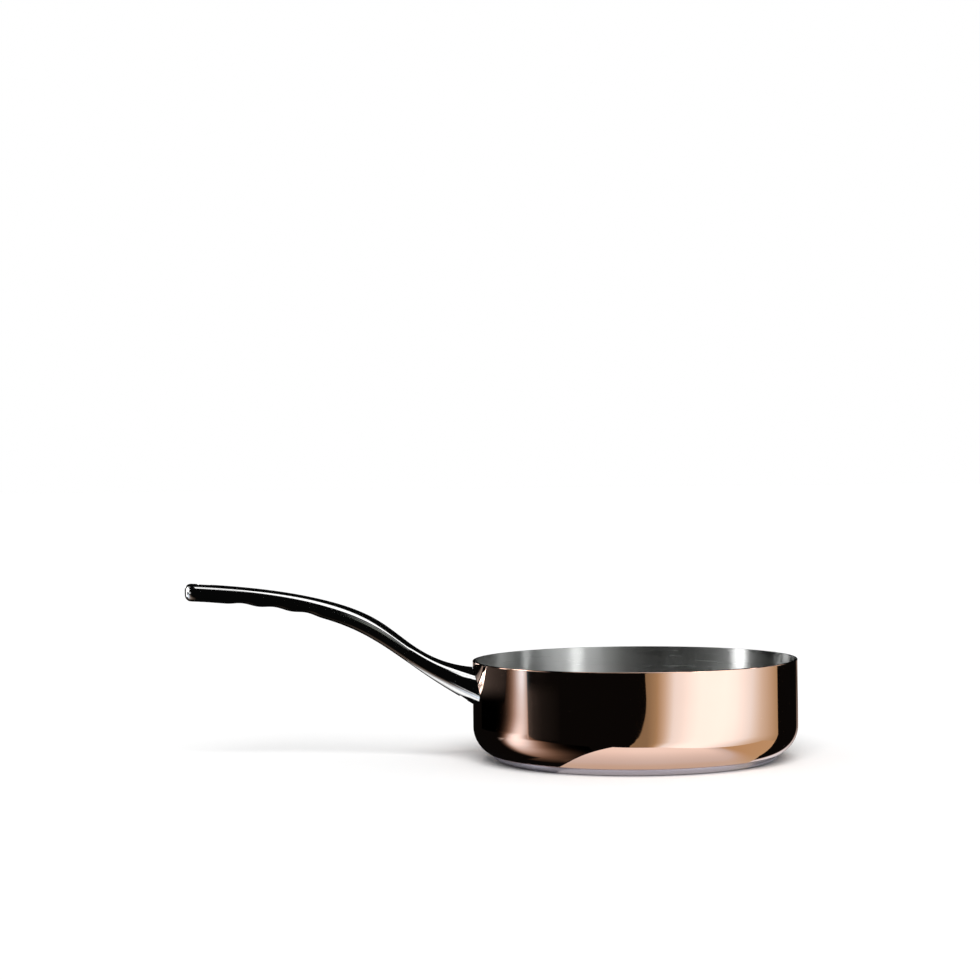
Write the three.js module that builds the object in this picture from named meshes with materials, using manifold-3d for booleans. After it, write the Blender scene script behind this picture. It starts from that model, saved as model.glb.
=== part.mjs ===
// Copper saute pan with a steel lining, a steel base for induction hobs and a riveted cast steel handle.
// Millimetres, +Z up. The origin is the middle of the base's underside, and the handle reaches towards -X.

import * as THREE from 'three';
import { mergeVertices } from 'three/addons/utils/BufferGeometryUtils.js';
import Module from 'manifold-3d';

const wasm = await Module();
wasm.setup();

// Pan body: the copper and its lining are bonded, so they share one inner face
const innerDiameter = 240;
const copperThickness = 1.8;
const liningThickness = 0.2;
const panHeight = 75.5;
const outerCornerRadius = 22.5;

// Base: a disc under the copper that wraps a little way up its corner and has a rounded edge
const baseThickness = 3.5;
const baseWrap = 8.2;
const baseEdgeInset = 11;

// Handle centre line: one curve from just inside the wall to the tail, with heights from the rim
const handleReach = 216;
const handleRootInset = 8;
const handleRootDrop = 21.4;
const handleTailRise = 53.7;
const handleRootSlope = THREE.MathUtils.degToRad(16.8);
const handleTailSlope = THREE.MathUtils.degToRad(3.1);
const handleRootPull = 87.7;
const handleTailPull = 176.2;

// Handle sections: thickness is square to the centre line, and places are distances out from the wall
const gripWidth = 24;
const gripThickness = 13.3;
const gripStart = 122;
const shoulderThickness = 14.4;
const shoulderPlace = 78;
const neckWidth = 16;
const neckThickness = 12.6;
const neckPlace = 48;
const rootWidth = 61;
const rootThickness = 25.5;
const rootTaper = 0.28;
const rootWidthFlare = 1.7;
const rootThicknessFlare = 1.8;
const rootTopSquareness = 3.2;
const rootBottomSquareness = 2;
const gripSquareness = 2.6;
const tailPlanRadius = 10.5;
const tailEdgeRadius = 4.5;

// Finger grooves along the underside of the grip
const grooveCount = 3;
const groovePitch = 24.4;
const grooveDepth = 1.3;
const grooveFromTail = 31;

// Hanging hole: a slot with round ends through the tail
const hangingHoleWidth = 8;
const hangingHoleLength = 15;
const hangingHoleFromTail = 7;

// Rivets: one above a pair, through the wall and through a plate at the foot of the handle
const rivetShankDiameter = 6;
const rivetHeadDiameter = 12;
const rivetHeadHeight = 2.2;
const rivetTailDiameter = 9;
const rivetTailHeight = 2.6;
const rivetEdge = 0.6;
const topRivetDrop = 13;
const lowerRivetDrop = 22.5;
const lowerRivetSpread = 11.5;
const rootPlateThickness = 4;
const rootPocketDepth = 5.5;
const rootPocketMargin = 1.3;

// Play between pieces that are trimmed to fit each other
const seatGap = 0.3;
const rivetHoleClearance = 0.3;

// Fineness of the round shapes
const panSegments = 72;
const rivetSegments = 16;
const cornerSteps = 4;
const wrapSteps = 2;
const edgeSteps = 5;
const domeSteps = 4;
const handleSteps = 56;
const tailSteps = 5;
const sectionSteps = 20;
const slotSteps = 6;
const mergeDistance = 1e-4;

// Sizes that follow from the ones above
const innerRadius = innerDiameter / 2;
const wallThickness = copperThickness + liningThickness;
const outerRadius = innerRadius + wallThickness;
const floorRadius = outerRadius - outerCornerRadius;
const cornerHeight = baseThickness + outerCornerRadius;
const wrapAngle = Math.asin(baseWrap / outerCornerRadius);
const handleFaceRadius = outerRadius + seatGap;
const plateRadius = handleFaceRadius + rootPlateThickness;
const rivets = [
  { name: 'rivet_top', side: 0, height: panHeight - topRivetDrop },
  { name: 'rivet_left', side: lowerRivetSpread, height: panHeight - lowerRivetDrop },
  { name: 'rivet_right', side: -lowerRivetSpread, height: panHeight - lowerRivetDrop },
];

const brushedCopper = new THREE.MeshStandardMaterial({ color: 0xc98a63, roughness: 0.2, metalness: 1 });
const brushedSteel = new THREE.MeshStandardMaterial({ color: 0xb9bab8, roughness: 0.35, metalness: 1 });
const baseSteel = new THREE.MeshStandardMaterial({ color: 0x9d9aa3, roughness: 0.4, metalness: 1 });
const polishedSteel = new THREE.MeshStandardMaterial({ color: 0xc4c4c4, roughness: 0.12, metalness: 1 });

// Evenly spaced values from start to end, both included
function spread(start, end, steps) {
  return Array.from({ length: steps + 1 }, (_, step) => start + ((end - start) * step) / steps);
}

// Solid turned about the pan's axis from pairs of radius and height
function turned(profile, segments) {
  const outline = profile.map(([radius, height]) => new THREE.Vector2(radius, height));
  return new THREE.LatheGeometry(outline, segments).rotateX(Math.PI / 2);
}

// Closed geometry as a solid that can be cut
function toSolid(geometry) {
  const bare = geometry.clone();
  bare.deleteAttribute('normal');
  bare.deleteAttribute('uv');
  const merged = mergeVertices(bare, mergeDistance);
  const corners = merged.index.array;
  const triangles = [];
  for (let start = 0; start < corners.length; start += 3) {
    const triangle = corners.slice(start, start + 3);
    if (new Set(triangle).size === 3) {
      triangles.push(...triangle);
    }
  }
  const mesh = new wasm.Mesh({
    numProp: 3,
    vertProperties: merged.attributes.position.array,
    triVerts: new Uint32Array(triangles),
  });
  return new wasm.Manifold(mesh);
}

// Solid back as a geometry
function toGeometry(solid) {
  const mesh = solid.getMesh();
  const geometry = new THREE.BufferGeometry();
  geometry.setAttribute('position', new THREE.BufferAttribute(mesh.vertProperties, 3));
  geometry.setIndex(new THREE.BufferAttribute(mesh.triVerts, 1));
  geometry.computeVertexNormals();
  return geometry;
}

// Corner of the pan at a given radius, from the floor at angle 0 up to the wall at a quarter turn
function cornerPoints(radius, angles) {
  return angles.map((angle) => [
    floorRadius + radius * Math.sin(angle),
    cornerHeight - radius * Math.cos(angle),
  ]);
}

const wrapAngles = spread(0, wrapAngle, wrapSteps);
const cornerAngles = [...wrapAngles, ...spread(wrapAngle, Math.PI / 2, cornerSteps).slice(1)];

// One face of the bowl, a given depth inside the copper's outer face, from the axis out to the rim
function bowlFace(depth) {
  const radius = outerCornerRadius - depth;
  const floor = baseThickness + depth;
  return [[0, floor], ...cornerPoints(radius, cornerAngles), [outerRadius - depth, panHeight]];
}

// Layer of the bowl between two of its faces
function bowlLayer(outerDepth, innerDepth) {
  return turned([...bowlFace(outerDepth), ...bowlFace(innerDepth).reverse()], panSegments);
}

// Base disc: its upper face follows the copper, and its edge curves in to the flat that it stands on
function baseDisc() {
  const wrap = cornerPoints(outerCornerRadius, wrapAngles);
  const [seamRadius, seamHeight] = wrap[wrap.length - 1];
  const edge = spread(0, Math.PI / 2, edgeSteps).map((angle) => [
    seamRadius - baseEdgeInset * (1 - Math.sin(angle)),
    seamHeight * (1 - Math.cos(angle)),
  ]);
  return turned([[0, 0], ...edge, ...wrap.reverse().slice(1), [0, baseThickness]], panSegments);
}

// Drum about the pan's axis that trims pieces to the round of the wall
function wallDrum(radius) {
  return toSolid(turned([[0, 0], [radius, 0], [radius, 2 * panHeight], [0, 2 * panHeight]], panSegments));
}

// Turns a shape that is made on the pan's -X side round to its own place on the wall
function placeOnWall(geometry, rivet) {
  const turn = Math.asin(rivet.side / outerRadius);
  return geometry.rotateZ(-turn).translate(0, 0, rivet.height);
}

// Clearance hole for a rivet's shank, from inside the bowl to the pocket behind the root plate
function rivetHole(rivet) {
  const radius = rivetShankDiameter / 2 + rivetHoleClearance;
  const start = innerRadius - rivetHeadDiameter;
  const end = plateRadius + rootPocketDepth / 2;
  const hole = new THREE.CylinderGeometry(radius, radius, end - start, rivetSegments);
  hole.translate(0, (start + end) / 2, 0).rotateZ(Math.PI / 2);
  return toSolid(placeOnWall(hole, rivet));
}

// Rivet: a low head inside the bowl, a shank through the wall and a formed tail in the handle's pocket
function rivetSolid() {
  const headRadius = rivetHeadDiameter / 2;
  const tailRadius = rivetTailDiameter / 2;
  const shankRadius = rivetShankDiameter / 2;
  const headSeat = Math.sqrt(innerRadius ** 2 - headRadius ** 2) - seatGap;
  const tailSeat = plateRadius + seatGap;
  const quarter = spread(0, Math.PI / 2, domeSteps);
  const head = quarter.map((angle) => [
    headRadius * Math.sin(angle),
    headSeat - rivetEdge - (rivetHeadHeight - rivetEdge) * Math.cos(angle),
  ]);
  const tail = quarter.map((angle) => [
    tailRadius * Math.cos(angle),
    tailSeat + rivetEdge + (rivetTailHeight - rivetEdge) * Math.sin(angle),
  ]);
  const shank = [
    [headRadius, headSeat],
    [shankRadius, headSeat],
    [shankRadius, tailSeat],
    [tailRadius, tailSeat],
  ];
  const outline = [...head, ...shank, ...tail].map(([radius, out]) => new THREE.Vector2(radius, out));
  return new THREE.LatheGeometry(outline, rivetSegments).rotateZ(Math.PI / 2);
}

// Centre line of the handle, as distance out from the wall and height above the rim
const handleRoot = new THREE.Vector2(-handleRootInset, -handleRootDrop);
const handleTail = new THREE.Vector2(handleReach, handleTailRise);
const rootPull = new THREE.Vector2(handleRootPull, handleRootPull * Math.tan(handleRootSlope));
const tailPull = new THREE.Vector2(handleTailPull, handleTailPull * Math.tan(handleTailSlope));
const centreLine = new THREE.CubicBezierCurve(
  handleRoot,
  handleRoot.clone().add(rootPull),
  handleTail.clone().sub(tailPull),
  handleTail,
);

// Eases from one value to the next between two places
function ease(place, startPlace, endPlace, start, end) {
  return THREE.MathUtils.lerp(start, end, THREE.MathUtils.smoothstep(place, startPlace, endPlace));
}

// How far the foot of the handle has opened out: 0 from the neck outwards, 1 at the wall
function flare(place) {
  return Math.max(0, 1 - place / neckPlace);
}

// How much a round end of the given radius takes off each side at a distance from the end
function endRounding(distance, radius) {
  const short = Math.max(0, radius - distance);
  return radius - Math.sqrt(radius ** 2 - short ** 2);
}

// Depth of the finger grooves at a place along the handle
function grooveAt(place) {
  const fromTail = handleReach - grooveFromTail - place;
  if (fromTail < 0 || fromTail > grooveCount * groovePitch) {
    return 0;
  }
  return (grooveDepth * (1 - Math.cos((2 * Math.PI * fromTail) / groovePitch))) / 2;
}

// Width of the handle across its middle
function handleWidth(place) {
  const straight = ease(place, neckPlace, gripStart, neckWidth, gripWidth);
  return straight + (rootWidth - neckWidth) * flare(place) ** rootWidthFlare;
}

// Thickness of the handle, square to its centre line
function handleThickness(place) {
  const shoulder = ease(place, neckPlace, shoulderPlace, neckThickness, shoulderThickness);
  const grip = ease(place, shoulderPlace, gripStart, 0, gripThickness - shoulderThickness);
  return shoulder + grip + (rootThickness - neckThickness) * flare(place) ** rootThicknessFlare;
}

// Power that keeps the sign, which squares up a circle
function squared(value, squareness) {
  return Math.sign(value) * Math.abs(value) ** (2 / squareness);
}

// Upright section of the handle: a squared round that is wider below than above near the wall
function handleSection(along) {
  const spot = centreLine.getPoint(along);
  const direction = centreLine.getTangent(along);
  const place = spot.x;
  const opening = flare(place);
  const halfWidth = handleWidth(place) / 2 - endRounding(handleReach - place, tailPlanRadius);
  const halfThickness = handleThickness(place) / 2 - endRounding(handleReach - place, tailEdgeRadius);
  const above = halfThickness / direction.x;
  const below = above - grooveAt(place);
  const topSquareness = THREE.MathUtils.lerp(gripSquareness, rootTopSquareness, Math.min(1, opening));
  const bottomSquareness = THREE.MathUtils.lerp(gripSquareness, rootBottomSquareness, Math.min(1, opening));
  return Array.from({ length: sectionSteps }, (_, step) => {
    const angle = (2 * Math.PI * step) / sectionSteps;
    const squareness = Math.sin(angle) > 0 ? topSquareness : bottomSquareness;
    const rise = squared(Math.sin(angle), squareness);
    const side = squared(Math.cos(angle), squareness);
    const taper = 1 - rootTaper * opening * rise;
    return new THREE.Vector3(
      -outerRadius - place,
      halfWidth * taper * side,
      panHeight + spot.y + rise * (rise > 0 ? above : below),
    );
  });
}

// Skin through a row of sections, closed by a fan at each end
function loft(sections) {
  const count = sections[0].length;
  const points = sections.flat();
  const triangles = [];
  for (let row = 0; row + 1 < sections.length; row += 1) {
    for (let step = 0; step < count; step += 1) {
      const here = row * count + step;
      const next = row * count + ((step + 1) % count);
      triangles.push(here, here + count, next, next, here + count, next + count);
    }
  }
  const last = points.length - count;
  for (let step = 1; step + 1 < count; step += 1) {
    triangles.push(0, step, step + 1, last, last + step + 1, last + step);
  }
  return new THREE.BufferGeometry().setFromPoints(points).setIndex(triangles);
}

// Places along the centre line, from 0 to 1: even steps, then finer ones round the tail
function handlePlaces() {
  const speedAtTail = 3 * handleTailPull;
  const tailStart = 1 - tailPlanRadius / speedAtTail;
  const tail = spread(0, Math.PI / 2, tailSteps).map((angle) => Math.sin(angle));
  const tailPlaces = tail.map((part) => THREE.MathUtils.lerp(tailStart, 1, part));
  return [...spread(0, tailStart, handleSteps), ...tailPlaces.slice(1)];
}

// Pocket under the foot of the handle that leaves room for the rivet tails and opens downwards
function rootPocket() {
  const radius = rivetTailDiameter / 2 + rootPocketMargin;
  const top = panHeight - topRivetDrop;
  const low = panHeight - lowerRivetDrop;
  const lean = Math.atan2(lowerRivetSpread, lowerRivetDrop - topRivetDrop);
  const outline = new THREE.Shape();
  outline.moveTo(lowerRivetSpread + radius, 0);
  outline.lineTo(lowerRivetSpread + radius, low);
  outline.absarc(lowerRivetSpread, low, radius, 0, lean, false);
  outline.absarc(0, top, radius, lean, Math.PI - lean, false);
  outline.absarc(-lowerRivetSpread, low, radius, Math.PI - lean, Math.PI, false);
  outline.lineTo(-lowerRivetSpread - radius, 0);
  const depth = plateRadius + rootPocketDepth;
  const pocket = new THREE.ExtrudeGeometry(outline, { depth, bevelEnabled: false, curveSegments: domeSteps });
  pocket.rotateX(Math.PI / 2).rotateZ(-Math.PI / 2);
  return toSolid(pocket).subtract(wallDrum(plateRadius));
}

// Slot through the tail that the pan hangs by
function hangingHole() {
  const radius = hangingHoleWidth / 2;
  const outer = outerRadius + handleReach - hangingHoleFromTail - radius;
  const inner = outer - hangingHoleLength + 2 * radius;
  const outline = new THREE.Shape();
  outline.absarc(-inner, 0, radius, -Math.PI / 2, Math.PI / 2, false);
  outline.absarc(-outer, 0, radius, Math.PI / 2, (3 * Math.PI) / 2, false);
  const depth = 2 * (panHeight + handleTailRise);
  const slot = new THREE.ExtrudeGeometry(outline, { depth, bevelEnabled: false, curveSegments: slotSteps });
  return toSolid(slot);
}

// Cast handle: the lofted bar, trimmed to the wall, with its pocket, rivet holes and hanging hole
function handleSolid() {
  let solid = toSolid(loft(handlePlaces().map(handleSection)));
  solid = solid.subtract(wallDrum(handleFaceRadius));
  solid = solid.subtract(rootPocket());
  solid = solid.subtract(hangingHole());
  return toGeometry(drillForRivets(solid));
}

// Cuts the rivet holes out of a solid
function drillForRivets(solid) {
  return rivets.reduce((drilled, rivet) => drilled.subtract(rivetHole(rivet)), solid);
}

// Named piece of the pan
function piece(name, geometry, material) {
  const mesh = new THREE.Mesh(geometry, material);
  mesh.name = name;
  return mesh;
}

const copperShell = toGeometry(drillForRivets(toSolid(bowlLayer(0, copperThickness))));
const steelLining = toGeometry(drillForRivets(toSolid(bowlLayer(copperThickness, wallThickness))));

const pan = new THREE.Group();
pan.add(piece('copper_shell', copperShell, brushedCopper));
pan.add(piece('steel_lining', steelLining, brushedSteel));
pan.add(piece('induction_base', baseDisc(), baseSteel));
pan.add(piece('handle', handleSolid(), polishedSteel));
for (const rivet of rivets) {
  pan.add(piece(rivet.name, placeOnWall(rivetSolid(), rivet), polishedSteel));
}

export default pan;
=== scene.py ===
import math

import bmesh
import bpy
from mathutils import Matrix, Vector


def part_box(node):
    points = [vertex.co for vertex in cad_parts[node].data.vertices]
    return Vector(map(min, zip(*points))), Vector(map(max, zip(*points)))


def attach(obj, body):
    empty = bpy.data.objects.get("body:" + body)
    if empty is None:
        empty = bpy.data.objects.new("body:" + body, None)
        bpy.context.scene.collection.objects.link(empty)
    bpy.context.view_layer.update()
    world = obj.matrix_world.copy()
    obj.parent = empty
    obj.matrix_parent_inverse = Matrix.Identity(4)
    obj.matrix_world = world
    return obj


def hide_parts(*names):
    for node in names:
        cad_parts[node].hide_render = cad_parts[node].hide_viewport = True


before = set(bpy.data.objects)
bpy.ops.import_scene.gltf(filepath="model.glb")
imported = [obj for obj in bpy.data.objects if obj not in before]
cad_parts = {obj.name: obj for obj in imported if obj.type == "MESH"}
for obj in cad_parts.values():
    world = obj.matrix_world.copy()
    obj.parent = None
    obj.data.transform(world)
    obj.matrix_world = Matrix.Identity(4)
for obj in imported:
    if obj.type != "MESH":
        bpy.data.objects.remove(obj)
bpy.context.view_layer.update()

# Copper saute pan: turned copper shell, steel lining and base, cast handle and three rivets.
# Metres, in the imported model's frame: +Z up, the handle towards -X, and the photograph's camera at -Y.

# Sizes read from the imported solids
copper_low, copper_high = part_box("copper_shell")
lining_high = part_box("steel_lining")[1]
base_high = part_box("induction_base")[1]
handle_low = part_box("handle")[0]
outer_radius = copper_high.x
rim_height = copper_high.z
base_thickness = copper_low.z
bond_radius = lining_high.x
seam_radius = base_high.x
seam_height = base_high.z
handle_reach = -handle_low.x - outer_radius
copper_thickness = outer_radius - bond_radius

# Pan body
LINING_THICKNESS = 0.0002
CORNER_RADIUS = 0.0225
COPPER_RIM_ROUND = 0.0005
LINING_RIM_ROUND = 0.00012
RIM_RING_DROP = 0.0003
BASE_EDGE_INSET = 0.011
PAN_SEGMENTS = 288
CORNER_STEPS = 32
WALL_ROWS = 14
FLOOR_ROWS = 10
ROUND_STEPS = 6

# Handle centre line: distances out from the wall, heights from the rim
HANDLE_ROOT_INSET = 0.008
HANDLE_ROOT_DROP = 0.0214
HANDLE_TAIL_RISE = 0.0537
HANDLE_ROOT_SLOPE = math.radians(16.8)
HANDLE_TAIL_SLOPE = math.radians(3.1)
HANDLE_ROOT_PULL = 0.0877
HANDLE_TAIL_PULL = 0.1762

# Handle sections, at places measured out from the wall
GRIP_WIDTH = 0.024
GRIP_THICKNESS = 0.0133
GRIP_START = 0.122
SHOULDER_THICKNESS = 0.0144
SHOULDER_PLACE = 0.078
NECK_WIDTH = 0.016
NECK_THICKNESS = 0.0126
NECK_PLACE = 0.048
ROOT_WIDTH = 0.061
ROOT_THICKNESS = 0.0255
ROOT_TAPER = 0.28
ROOT_WIDTH_FLARE = 1.7
ROOT_THICKNESS_FLARE = 1.8
ROOT_TOP_SQUARENESS = 3.2
ROOT_BOTTOM_SQUARENESS = 2
GRIP_SQUARENESS = 2.6
TAIL_PLAN_RADIUS = 0.0105
TAIL_EDGE_RADIUS = 0.0045
HANDLE_STEPS = 280
TAIL_STEPS = 16
SECTION_STEPS = 96

# Finger grooves under the grip, and the hanging hole in the tail
GROOVE_COUNT = 3
GROOVE_PITCH = 0.0244
GROOVE_DEPTH = 0.0013
GROOVE_FROM_TAIL = 0.031
HOLE_WIDTH = 0.008
HOLE_LENGTH = 0.015
HOLE_FROM_TAIL = 0.007
HOLE_EDGE_ROUND = 0.0016
HOLE_ARC_STEPS = 20

# Rivets: places on the wall, as sideways distance and drop below the rim
RIVETS = {"rivet_top": (0.0, 0.013), "rivet_left": (0.0115, 0.0225), "rivet_right": (-0.0115, 0.0225)}
RIVET_SHANK_RADIUS = 0.003
RIVET_HEAD_RADIUS = 0.006
RIVET_HEAD_HEIGHT = 0.0022
RIVET_TAIL_RADIUS = 0.0045
RIVET_TAIL_HEIGHT = 0.0026
RIVET_EDGE = 0.0006
RIVET_SEGMENTS = 64
RIVET_DOME_STEPS = 12
ROOT_PLATE_THICKNESS = 0.004
ROOT_POCKET_DEPTH = 0.0055
ROOT_POCKET_MARGIN = 0.0013
POCKET_ARC_STEPS = 12

# Play between pieces that are trimmed to fit each other
SEAT_GAP = 0.0003
RIVET_HOLE_CLEARANCE = 0.0003

# Sizes that follow from the ones above
inner_radius = bond_radius - LINING_THICKNESS
floor_radius = outer_radius - CORNER_RADIUS
corner_height = base_thickness + CORNER_RADIUS
handle_face_radius = outer_radius + SEAT_GAP
plate_radius = handle_face_radius + ROOT_PLATE_THICKNESS

# Camera: a long lens on the -Y side, a little above the rim
CAMERA_PLACE = Vector((-0.1074, -1.8, 0.2224))
CAMERA_PITCH = math.radians(-0.594)
CAMERA_ROLL = math.radians(-0.634)
CAMERA_LENS = 87.8
CAMERA_SENSOR = 36

# Smooth shading breaks where faces meet at more than this
SHARP_ANGLE = math.radians(32)

# Values that most of a noise lies between, and a narrower span for more contrast
NOISE_SPAN = (0.3, 0.7)
NARROW_NOISE_SPAN = (0.35, 0.65)

# Turn, as a part of a full one, that sets stretched reflections square to the lines of a turned surface
ACROSS_LINES = 0.25

# Studio: a white room with a pale floor, and dark walls, soft boxes and cards that only the metal mirrors.
# Azimuths are degrees to the right of the camera's side, and elevations degrees above the horizon.
# The walls, boxes and cards are glowing sheets, no lamps, that paint the metal's reflections; the cards and
# floor pieces carry painted light and shade.
LIGHT_DISTANCE = 3.0
WALL_DISTANCE = 4.5
WALL_AZIMUTHS = (-180, 180)
WALL_ELEVATIONS = (-89.9, 89.9)
DARK_LEVEL = 0.003
SHEET_STEPS = 64
FLOOR_SIZE = 40.0
CARD_HEIGHT = 0.0003
ROOM_LIGHT = 0.5
SUN_STRENGTH = 2.9
SUN_WIDTH = math.radians(40)
SUN_PLACE = Vector((0.0, -1.0, 0.9))

# Tints of the studio's light where it is dim and where it is bright, and the levels at which they are reached
WHITE = (1.0, 1.0, 1.0)
COOL = (0.38, 0.7, 1.0)
DIM_LEVEL = 0.1
BRIGHT_LEVEL = 0.75
GLOWS = {
    "neutral": (WHITE, WHITE, DIM_LEVEL, BRIGHT_LEVEL),
    "tinted": ((1.0, 0.72, 0.55), (1.0, 1.08, 1.2), DIM_LEVEL, BRIGHT_LEVEL),
    "table": ((1.0, 0.8, 0.5), (0.93, 1.07, 1.18), 0.4, 0.95),
    "card": ((1.0, 0.77, 0.47), (1.0, 1.02, 1.07), 0.5, 0.62),
    "box": ((0.92, 1.0, 0.84), (0.94, 1.0, 1.0), 0.2, 0.7),
}

# Right soft box: elevations, and light by azimuth
RIGHT_BOX_ELEVATIONS = (-1.5, 9)
RIGHT_BOX_LIGHT = [
    (5, 0.25), (12, 0.37), (19, 0.64), (26, 0.98), (32, 1.06), (38, 1.18), (46, 1.3), (66, 1.34), (75, 1.26),
    (86, 1.02), (99, 0.68), (118, 0.36),
]

# Glowing sheet on the floor in front of that box, seen only in mirrors, with painted light of the box on a
# table:
# the box's light at each azimuth, seen from the copper's front. Its left edge is a curve, as azimuths by
# reach, and its right edge a straight line at an azimuth, moved aside by an offset. The crowding is the power
# that draws its rows together near the pan.
PAINTED_TABLE_LEFT = [
    (0.04, -26), (0.06, -18), (0.1, -11.5), (0.15, -8), (0.2, -5.6), (0.235, -4), (0.26, -2), (0.29, -0.1),
    (0.33, 1.4), (0.37, 2.6), (0.41, 3.5), (0.455, 4.2), (0.55, 4.7), (0.67, 4.4), (0.78, 3.9), (2.8, 3.9),
]
PAINTED_TABLE_RIGHT = 115.2
PAINTED_TABLE_RIGHT_OFFSET = 0.0063
PAINTED_TABLE_HEIGHT = 0.0001
PAINTED_TABLE_CROWDING = 3

# Other lights at the sides: elevations, and light by azimuth
SIDE_LIGHTS = {
    "left_upper_strip": ((4, 30), [(-112, 0.1), (-104, 0.4), (-97.2, 0.5), (-96.4, 7.2), (-84, 7.2)]),
    "far_left_upper_strip": ((4, 12), [(-157, 3.6), (-146.5, 5)]),
    "left_high_fill": ((36, 54), [(-126, 0.12), (-120, 0.25), (-110, 0.3), (-103, 0.6), (-97, 0.6)]),
    "left_faint_edge": ((-7, -4), [(-82.5, 0.075), (-77, 0.026), (-70, 0.011), (-56, 0.004)]),
    "left_side_fill": ((-2, 6), [(-84, 1.1), (-76, 1), (-70, 0.6), (-65, 0.15), (-62, 0)]),
    "right_upper_box": ((9, 24), [
        (10, 0.2), (20, 0.35), (28, 1.9), (36, 2.1), (37.8, 8), (44.8, 8), (46.5, 3.8), (56, 3.35), (70, 1.8),
        (76, 0.8), (82, 0.2), (86.3, 0.1), (87.2, 8), (89.1, 8), (90, 0.05), (100, 0.05), (103.5, 1),
        (107, 0.5), (112, 0.3), (121, 1.7), (125, 0.8), (130, 0.1),
    ]),
}

# Overhead strip light from behind the pan to the front right, and a sheet on its left given by two sides.
# Edges are the parts of their width over which they fade.
OVERHEAD_START = Vector((-0.27, 0.66, 1.6))
OVERHEAD_END = Vector((1.25, -2.2, 1.6))
OVERHEAD_HALF_WIDTH = 0.34
OVERHEAD_LIGHT = 1.8
OVERHEAD_EDGE = 1 / 6
OVERHEAD_SIDE_OUTER = [Vector((-0.66, -0.24, 1.6)), Vector((-0.64, 0.55, 1.6))]
OVERHEAD_SIDE_INNER = [Vector((-0.24, -0.24, 1.6)), Vector((-0.52, 0.55, 1.6))]
OVERHEAD_SIDE_EDGE = 0.2

# Glowing white card in front of the pan, seen only in mirrors: its front and back edges from left to right.
# It carries painted shade towards the pan, between two distances from the axis, and fades to its right light
# between two places in X.
CARD_FRONT = [(-0.042, -0.172), (0.024, -0.171), (0.159, -0.073)]
CARD_BACK = [(-0.066, -0.062), (0.093, -0.0685), (0.151, -0.0445)]
CARD_LIGHT = 0.92
CARD_PAINTED_SHADE = 0.62
CARD_PAINTED_SHADE_REACH = (0.106, 0.15)
CARD_RIGHT_LIGHT = 0.5
CARD_RIGHT_X = (0.062, 0.09)

# Glow on the left, below the pan's horizon: its upper edge by azimuth, and at each elevation its light,
# centre and spread to both sides
LEFT_GLOW_LOW = -64
LEFT_GLOW_TOP = [(-140, -3), (-83, -3), (-82, -6), (-73, -7.5), (-58, -14), (-36, -20)]
LEFT_GLOW_LIGHT = [
    (-60, 0.06), (-53, 0.13), (-44, 0.3), (-36, 0.55), (-28, 0.8), (-22, 1.08), (-11, 1.3), (-6.2, 1.3),
    (-5.2, 0.75), (-4, 0.6),
]
LEFT_GLOW_CENTRE = [(-44, -100), (-28, -99), (-11, -94.5), (-6.2, -94), (-5.3, -88)]
LEFT_GLOW_LEFT_SPREAD = [(-50, 26), (-36, 18), (-28, 13), (-11, 12.5), (-6, 9)]
LEFT_GLOW_RIGHT_SPREAD = [(-50, 30), (-44, 27), (-28, 20), (-22, 18), (-11, 16), (-6, 9)]

# Cool see-through veil over the upper part of that glow: light by elevation, centre and spread to both sides
LEFT_VEIL_DISTANCE = 2.7
LEFT_VEIL_AZIMUTHS = (-110, -76)
LEFT_VEIL_LIGHT = [(-5.5, 0), (-4.9, 0.1), (-4.5, 0.28), (-4.1, 0.42), (-3.7, 0.8), (-3.3, 0.9), (-1.7, 1)]
LEFT_VEIL_CENTRE = -87
LEFT_VEIL_LEFT_SPREAD = 5
LEFT_VEIL_RIGHT_SPREAD = 3.3

# Faint glow of the room on the left, on the floor well away from the pan: reach, light by azimuth, and the
# part of its reach over which it begins
ROOM_GLOW_REACH = (0.46, 1.4)
ROOM_GLOW_LIGHT = [(-176, 0.11), (-140, 0.08), (-118, 0.045), (-105, 0.03), (-100, 0.02)]
ROOM_GLOW_EDGE = 0.2

# Glowing sheet on the floor on the left, seen only in mirrors, with the painted light of a pale floor that
# the lower flank of the handle's foot mirrors: light by X, times a factor by Y
LEFT_FLOOR_X = [(-0.222, 0.7), (-0.205, 1.25), (-0.175, 1.3), (-0.163, 0.3)]
LEFT_FLOOR_Y = [
    (-0.036, 0.2), (-0.022, 0.9), (0, 1.1), (0.02, 1.2), (0.05, 1), (0.07, 0.5), (0.09, 0.2), (0.13, 0),
]

# Dark flag, seen only in mirrors, with a soft front end: a painted dark reflection that keeps this pale floor
# out of the copper's corner. It stands through the floor, as the corner mirrors the studio below the floor
# too.
FLAG_X = -0.15
FLAG_Y = (-0.062, 0.12)
FLAG_SOFT_END = -0.038
FLAG_Z = (-0.1, 0.022)

# Glowing see-through card beyond the tail, seen only in mirrors, whose painted reflection shows in the copper
# by way of the handle's foot: ends, heights, light, and the part of its width over which it fades
TAIL_CARD_ENDS = [Vector((-0.571, 0.043)), Vector((-0.548, 0.134))]
TAIL_CARD_HEIGHTS = (0.046, 0.33)
TAIL_CARD_LIGHT = 2.4
TAIL_CARD_EDGE = 0.25

# Panel behind the pan: elevations, and light by azimuth
BACK_PANEL_ELEVATIONS = (-45, -1)
BACK_PANEL_LIGHT = [(153, 0), (156, 0.75), (172, 0.7), (182, 0)]

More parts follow.
